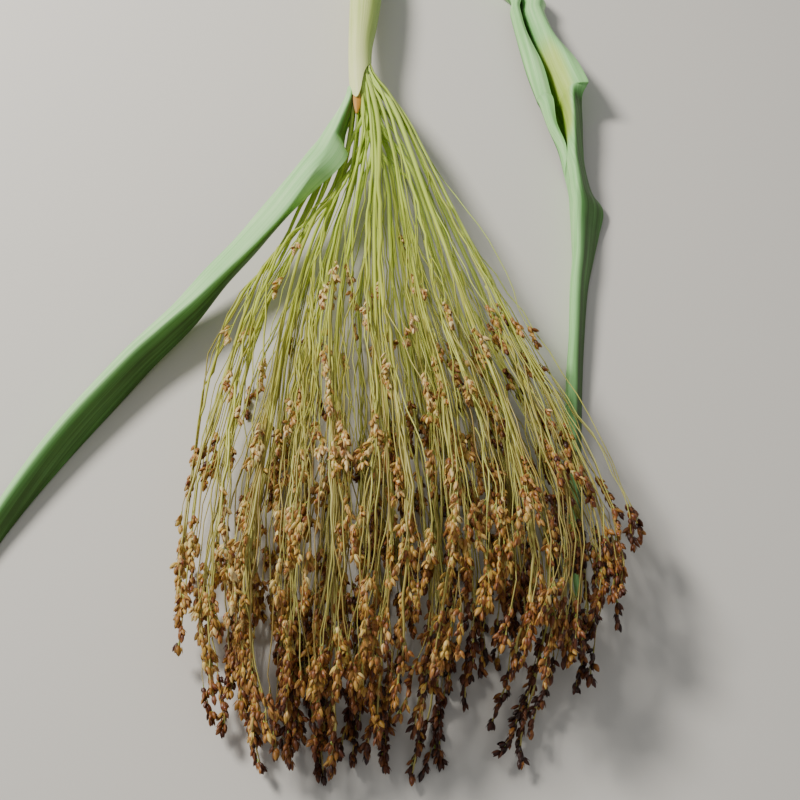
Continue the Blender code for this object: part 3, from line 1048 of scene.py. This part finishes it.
def add_flag_sheath(bundle):
    """The pale sheath, greener and darker towards its right margin: partly its own green and partly
    painted shade on the side away from the light.
    """
    rows, columns = 140, 61
    grid = sheath_grid(FLAG_SHEATH, FLAG_MOUTH, 32, 150, rows, columns)
    across = np.linspace(-1, 1, columns)[None]
    y = grid[..., 1] - WHORL[1]
    # green: the sheath's own green margin together with painted shade on its right side
    green = smooth_step((across - 0.25) / 0.45)
    tone = 0.66 + 0.16 * smooth_step((0.06 - y) / 0.08) - 0.34 * green
    add_sheet(bundle, grid, (tone, 0.55), (0.0, 0.6), 0.7 * MM, SHEATH)


def add_flag_blade(bundle, thickness):
    """The folded blade. Its right half is painted darker, partly a darker green and partly painted shade,
    except where it turns up over the strands.
    """
    rows, columns = 170, 57
    sections = np.array([arc_section(row, 15) for row in FLAG_BLADE]) + WHORL
    grid = resample(sections, rows, columns)
    across = np.linspace(-1, 1, columns)[None]
    ripple = np.sin(np.linspace(0, 46, rows))[:, None] * np.abs(across) ** 6
    grid[..., 2] += 0.4 * MM * ripple
    y = grid[..., 1] - WHORL[1]
    turned = smooth_step((-0.073 - y) / 0.004) * smooth_step((y + 0.138) / 0.02)
    # painted shade, with some darker green, over the right half; none where the blade turns up to the
    # light
    tone = 0.88 - 0.54 * smooth_step((across + 0.04) / 0.34) * (1 - turned)
    add_sheet(bundle, grid, (tone, 0.35), (0.0, 0.8), thickness, BLADE)


def add_ligule(bundle):
    rows = np.array(LIGULE)
    columns = [
        np.stack([rows[:, 1] + rows[:, 3] * w, rows[:, 0], rows[:, 2] - 0.6 * MM * w * w], axis=1)
        for w in (-1, -0.5, 0, 0.5, 1)
    ]
    grid = resample(np.stack(columns, axis=1) + WHORL, 16, 13)
    add_sheet(bundle, grid, (0.6, 0.4), (0.0, 0.0), 0.3 * MM, TONGUE)


def make_flag_leaf(materials, settings):
    bundle = Bundle()
    add_flag_sheath(bundle)
    add_flag_blade(bundle, settings.leaf_thickness)
    add_ligule(bundle)
    build_piece("flag_leaf_grown", bundle, materials, "flag_leaf")


def second_leaf_grid():
    """The curl round the stalk and then the folded blade, as one smooth sheet."""
    start = np.array([arc_section(row, 9)[::-1] for row in SECOND_START])
    start = np.delete(start, 5, axis=1)
    rows = np.array(SECOND_SECTIONS) * MM
    later = np.stack([rows[:, 1::2], np.repeat(rows[:, :1], 8, axis=1), rows[:, 2::2]], axis=2)
    return resample(np.concatenate([start, later]) + WHORL, 260, 57)


def make_second_leaf(materials, settings):
    """Its right side is painted in shade, and its fold opens on a yellow-green inside with a painted
    shadow down the fold's inside.
    """
    grid = second_leaf_grid()
    across = np.linspace(0, 1, grid.shape[1])[None]
    y = (grid[..., 1] - WHORL[1]) / MM
    # painted shade on the right side, away from the light
    shade = smooth_step((across - 0.84) / 0.06) * smooth_step((-12 - y) / 12)
    tone = 0.84 - 0.50 * shade - 0.08 * smooth_step((-150 - y) / 100)
    inside = smooth_step((across - 0.40) / 0.10) * smooth_step((0.86 - across) / 0.10)
    inside = inside * smooth_step((y + 62) / 20) * smooth_step((48 - y) / 30)
    # painted shadow: a dark band down the inside of the fold, where the fold shades itself
    slot_shadow = smooth_step((across - 0.26) / 0.06) * smooth_step((0.66 - across) / 0.10)
    tone = tone - 0.60 * slot_shadow * smooth_step((y + 80) / 14) * smooth_step((96 - y) / 12)
    bundle = Bundle()
    add_sheet(bundle, grid, (tone, tone), (0.95 * inside, 0.0), settings.leaf_thickness, BLADE)
    build_piece("second_leaf_grown", bundle, materials, "second_leaf")


# The stalk


# Places of the materials on the stalk
RIND, PITH = 0, 1
STALK_WIDTH = 0.0112
# Distance from the first whorl, negative behind it, and the stalk's radius
STALK_TAPER = (
    (-STALK_LENGTH, 0.0056),
    (-0.060, 0.0055),
    (-0.020, 0.0050),
    (0.014, 0.0043),
    (0.030, 0.0033),
    (0.070, 0.0007),
)
# The same distance, then x and z of the stalk's axis
STALK_AXIS = (
    (-STALK_LENGTH, 0.0, CUT_HEIGHT),
    (0.0, 0.0, WHORL_HEIGHT),
    (0.060, 0.004, 0.0235),
    (0.080, 0.006, 0.0240),
)
STALK_NODE = -0.228


def add_pith(bundle, centre, radius):
    """The cut face: spongy pith a hair proud of the rind."""
    sides = 24
    angle = np.linspace(0.0, 2 * math.pi, sides, endpoint=False)
    ring = np.stack([np.cos(angle), np.zeros(sides), np.sin(angle)], axis=1)
    reach = radius * np.array((1.0, 1.0, 0.75, 0.5, 0.25, 0.01))
    points = centre + ring * reach[:, None, None]
    points[1:, :, 1] += 0.06 * MM
    faces, corners = strip_faces(len(reach), sides, True)
    grain = (points - centre)[..., (0, 2, 1)].reshape(-1, 3)
    points = points.reshape(-1, 3)
    bundle.add(points, faces[:, ::-1], PITH, 0.8, 0.0, grain, corners[:, ::-1], 0, "strip")


def make_stalk(materials, settings):
    """The culm with its swollen node and its tip inside the brush."""
    along = np.concatenate([np.linspace(-STALK_LENGTH, 0.0, 90), np.linspace(0.001, 0.070, 24)])
    radii = read_rows(STALK_TAPER, along)[:, 0] * settings.stalk_width / STALK_WIDTH
    radii += 0.9 * MM * np.exp(-(((along - STALK_NODE) / 0.004) ** 2))
    x, z = read_rows(STALK_AXIS, along).T
    path = np.stack([x, -along, z], axis=1) + WHORL
    bundle = Bundle()
    add_tube(bundle, path, radii, 24, RIND, 0.7, np.clip(along / BRUSH_LENGTH, 0, 1))
    add_pith(bundle, path[0], radii[0] * 0.86)
    build_piece("stalk_grown", bundle, materials, "stalk")


# The stage


def lay_floor(settings):
    far = 40.0
    corners = [(-far, -far, 0), (far, -far, 0), (far, far, 0), (-far, far, 0)]
    mesh = bpy.data.meshes.new("floor")
    mesh.from_pydata(corners, [], [(0, 1, 2, 3)])
    floor = add_to_scene("floor", mesh)
    floor.location.z = -0.2 * MM
    material, _, shader = new_material("table board, painted")
    shader.inputs["Base Color"].default_value = (*settings.floor_colour, 1.0)
    shader.inputs["Roughness"].default_value = 0.85
    mesh.materials.append(material)


def light_room(scene, settings):
    """A soft lamp on the upper left and an even pale room."""
    scene.world = bpy.data.worlds.new("room")
    scene.world.use_nodes = True
    room = scene.world.node_tree.nodes["Background"]
    room.inputs["Color"].default_value = to_linear("#f1f3f5")
    room.inputs["Strength"].default_value = settings.fill
    key = bpy.data.lights.new("key", "AREA")
    key.shape = "DISK"
    key.size = 0.4
    key.energy = settings.key_power
    key.color = (1.0, 0.97, 0.92)
    lamp = add_to_scene("key", key)
    lamp.location = (WHORL[0] - 0.85, WHORL[1] + 0.35, 0.95)
    aim = Vector((WHORL[0], WHORL[1] - 0.2, 0.0)) - lamp.location
    lamp.rotation_euler = aim.to_track_quat("-Z", "Y").to_euler()


def set_camera(scene):
    """The camera stands in front of the tips and looks down on the head."""
    camera = bpy.data.cameras.new("camera")
    camera.lens = 50
    camera.sensor_width = 36
    camera.clip_start = 0.01
    view = add_to_scene("camera", camera)
    view.location = (WHORL[0] + 0.0234, WHORL[1] - 0.5583, 0.455)
    view.rotation_euler = (math.radians(90 - LOOK_DOWN), 0.0, 0.0)
    scene.camera = view


# Settings, operators and panel


def colour_setting(name, description, hex_colour):
    return FloatVectorProperty(
        name=name,
        description=description,
        subtype="COLOR",
        size=3,
        min=0.0,
        max=1.0,
        default=to_linear(hex_colour)[:3],
    )


def size_setting(name, description, default):
    return FloatProperty(name=name, description=description, default=default, min=0.0, unit="LENGTH")


class BroomcornSettings(bpy.types.PropertyGroup):
    seed: IntProperty(name="Seed", description="Which head of the same kind grows", default=11, min=0)
    side_strands: IntProperty(
        name="Side strands",
        description="Fine strands that fork from each branch of the brush",
        default=16,
        min=1,
        max=30,
    )
    strand_width: size_setting("Strand width", "Width of a main strand at the stalk", 0.0027)
    spikelet_length: size_setting("Spikelet length", "Usual length of a husked seed", 0.0040)
    leaf_thickness: size_setting("Leaf thickness", "Thickness of both leaf blades", 0.0005)
    stalk_width: size_setting("Stalk width", "Width of the stalk at its cut end", STALK_WIDTH)


class BroomcornColours(bpy.types.PropertyGroup):
    husk: colour_setting("Husk", "Most husks", "#b08535")
    # The palest husks sit mostly where painted light raises the tone, on top and to the left.
    palest_husk: colour_setting("Palest husk", "The palest husks, on top of the brush", "#e8d48c")
    flushed_husk: colour_setting("Flushed husk", "Ears that ripened redder", "#914f2a")
    grain: colour_setting("Grain", "Seeds where their husks gape", "#7e3a1a")
    strand: colour_setting("Strand", "Fresh strands near the stalk", "#c4da50")
    aged_strand: colour_setting("Aged strand", "Older and drier strands", "#9a9a36")
    leaf: colour_setting("Leaf", "Leaf blades under their bloom", "#66a453")
    leaf_bloom: colour_setting("Leaf bloom", "Waxy bloom on the leaf blades", "#9ad888")
    sheath: colour_setting("Sheath", "Sheath round the stalk", "#e8efa2")
    ligule: colour_setting("Ligule", "Papery tongue at the end of the sheath", "#c4832a")
    pith: colour_setting("Pith", "Inside of the cut stalk", "#eeecc9")


class StageSettings(bpy.types.PropertyGroup):
    floor_colour: colour_setting("Floor", "Colour of the floor", "#d9d5cd")
    key_power: FloatProperty(
        name="Key light",
        description="Power of the soft lamp on the upper left",
        default=25.0,
        min=0.0,
        unit="POWER",
    )
    fill: FloatProperty(
        name="Fill", description="Strength of the even light all round", default=0.40, min=0.0
    )


class BROOMCORN_OT_stalk(bpy.types.Operator):
    """Grow the stalk"""

    bl_idname = "broomcorn.stalk"
    bl_label = "Stalk"

    def execute(self, context):
        colours = context.scene.broomcorn_colours
        make_stalk([strand_material(colours), pith_material(colours)], context.scene.broomcorn)
        return {"FINISHED"}


class BROOMCORN_OT_leaves(bpy.types.Operator):
    """Grow the flag leaf and the next leaf down"""

    bl_idname = "broomcorn.leaves"
    bl_label = "Leaves"

    def execute(self, context):
        materials = leaf_materials(context.scene.broomcorn_colours)
        make_flag_leaf(materials, context.scene.broomcorn)
        make_second_leaf(materials, context.scene.broomcorn)
        return {"FINISHED"}


class BROOMCORN_OT_brush(bpy.types.Operator):
    """Grow every seeded branch of the brush"""

    bl_idname = "broomcorn.brush"
    bl_label = "Brush"

    def execute(self, context):
        colours = context.scene.broomcorn_colours
        materials = [husk_material(colours), grain_material(colours), strand_material(colours)]
        for number, name in enumerate(BRANCHES, start=1):
            make_branch(name, number, materials, context.scene.broomcorn)
        return {"FINISHED"}


class BROOMCORN_OT_stage(bpy.types.Operator):
    """Lay the floor and set the lights and the camera"""

    bl_idname = "broomcorn.stage"
    bl_label = "Stage"

    def execute(self, context):
        settings = context.scene.broomcorn_stage
        lay_floor(settings)
        light_room(context.scene, settings)
        set_camera(context.scene)
        return {"FINISHED"}


class BROOMCORN_PT_panel(bpy.types.Panel):
    bl_label = "Broomcorn"
    bl_idname = "BROOMCORN_PT_panel"
    bl_space_type = "VIEW_3D"
    bl_region_type = "UI"
    bl_category = "Broomcorn"

    def draw(self, context):
        for pointer in SETTINGS:
            settings = getattr(context.scene, pointer)
            for name in type(settings).__annotations__:
                self.layout.prop(settings, name)
        for operator in OPERATORS:
            self.layout.operator(operator.bl_idname)


OPERATORS = (BROOMCORN_OT_stalk, BROOMCORN_OT_leaves, BROOMCORN_OT_brush, BROOMCORN_OT_stage)
# Where the scene keeps each group of settings
SETTINGS = {
    "broomcorn": BroomcornSettings,
    "broomcorn_colours": BroomcornColours,
    "broomcorn_stage": StageSettings,
}
CLASSES = (*SETTINGS.values(), *OPERATORS, BROOMCORN_PT_panel)


def register():
    for cls in CLASSES:
        bpy.utils.register_class(cls)
    for pointer, group in SETTINGS.items():
        setattr(bpy.types.Scene, pointer, PointerProperty(type=group))


def unregister():
    for pointer in SETTINGS:
        delattr(bpy.types.Scene, pointer)
    for cls in reversed(CLASSES):
        bpy.utils.unregister_class(cls)


def main():
    register()
    bpy.ops.broomcorn.stalk()
    bpy.ops.broomcorn.leaves()
    bpy.ops.broomcorn.brush()
    bpy.ops.broomcorn.stage()


if __name__ == "__main__":
    main()
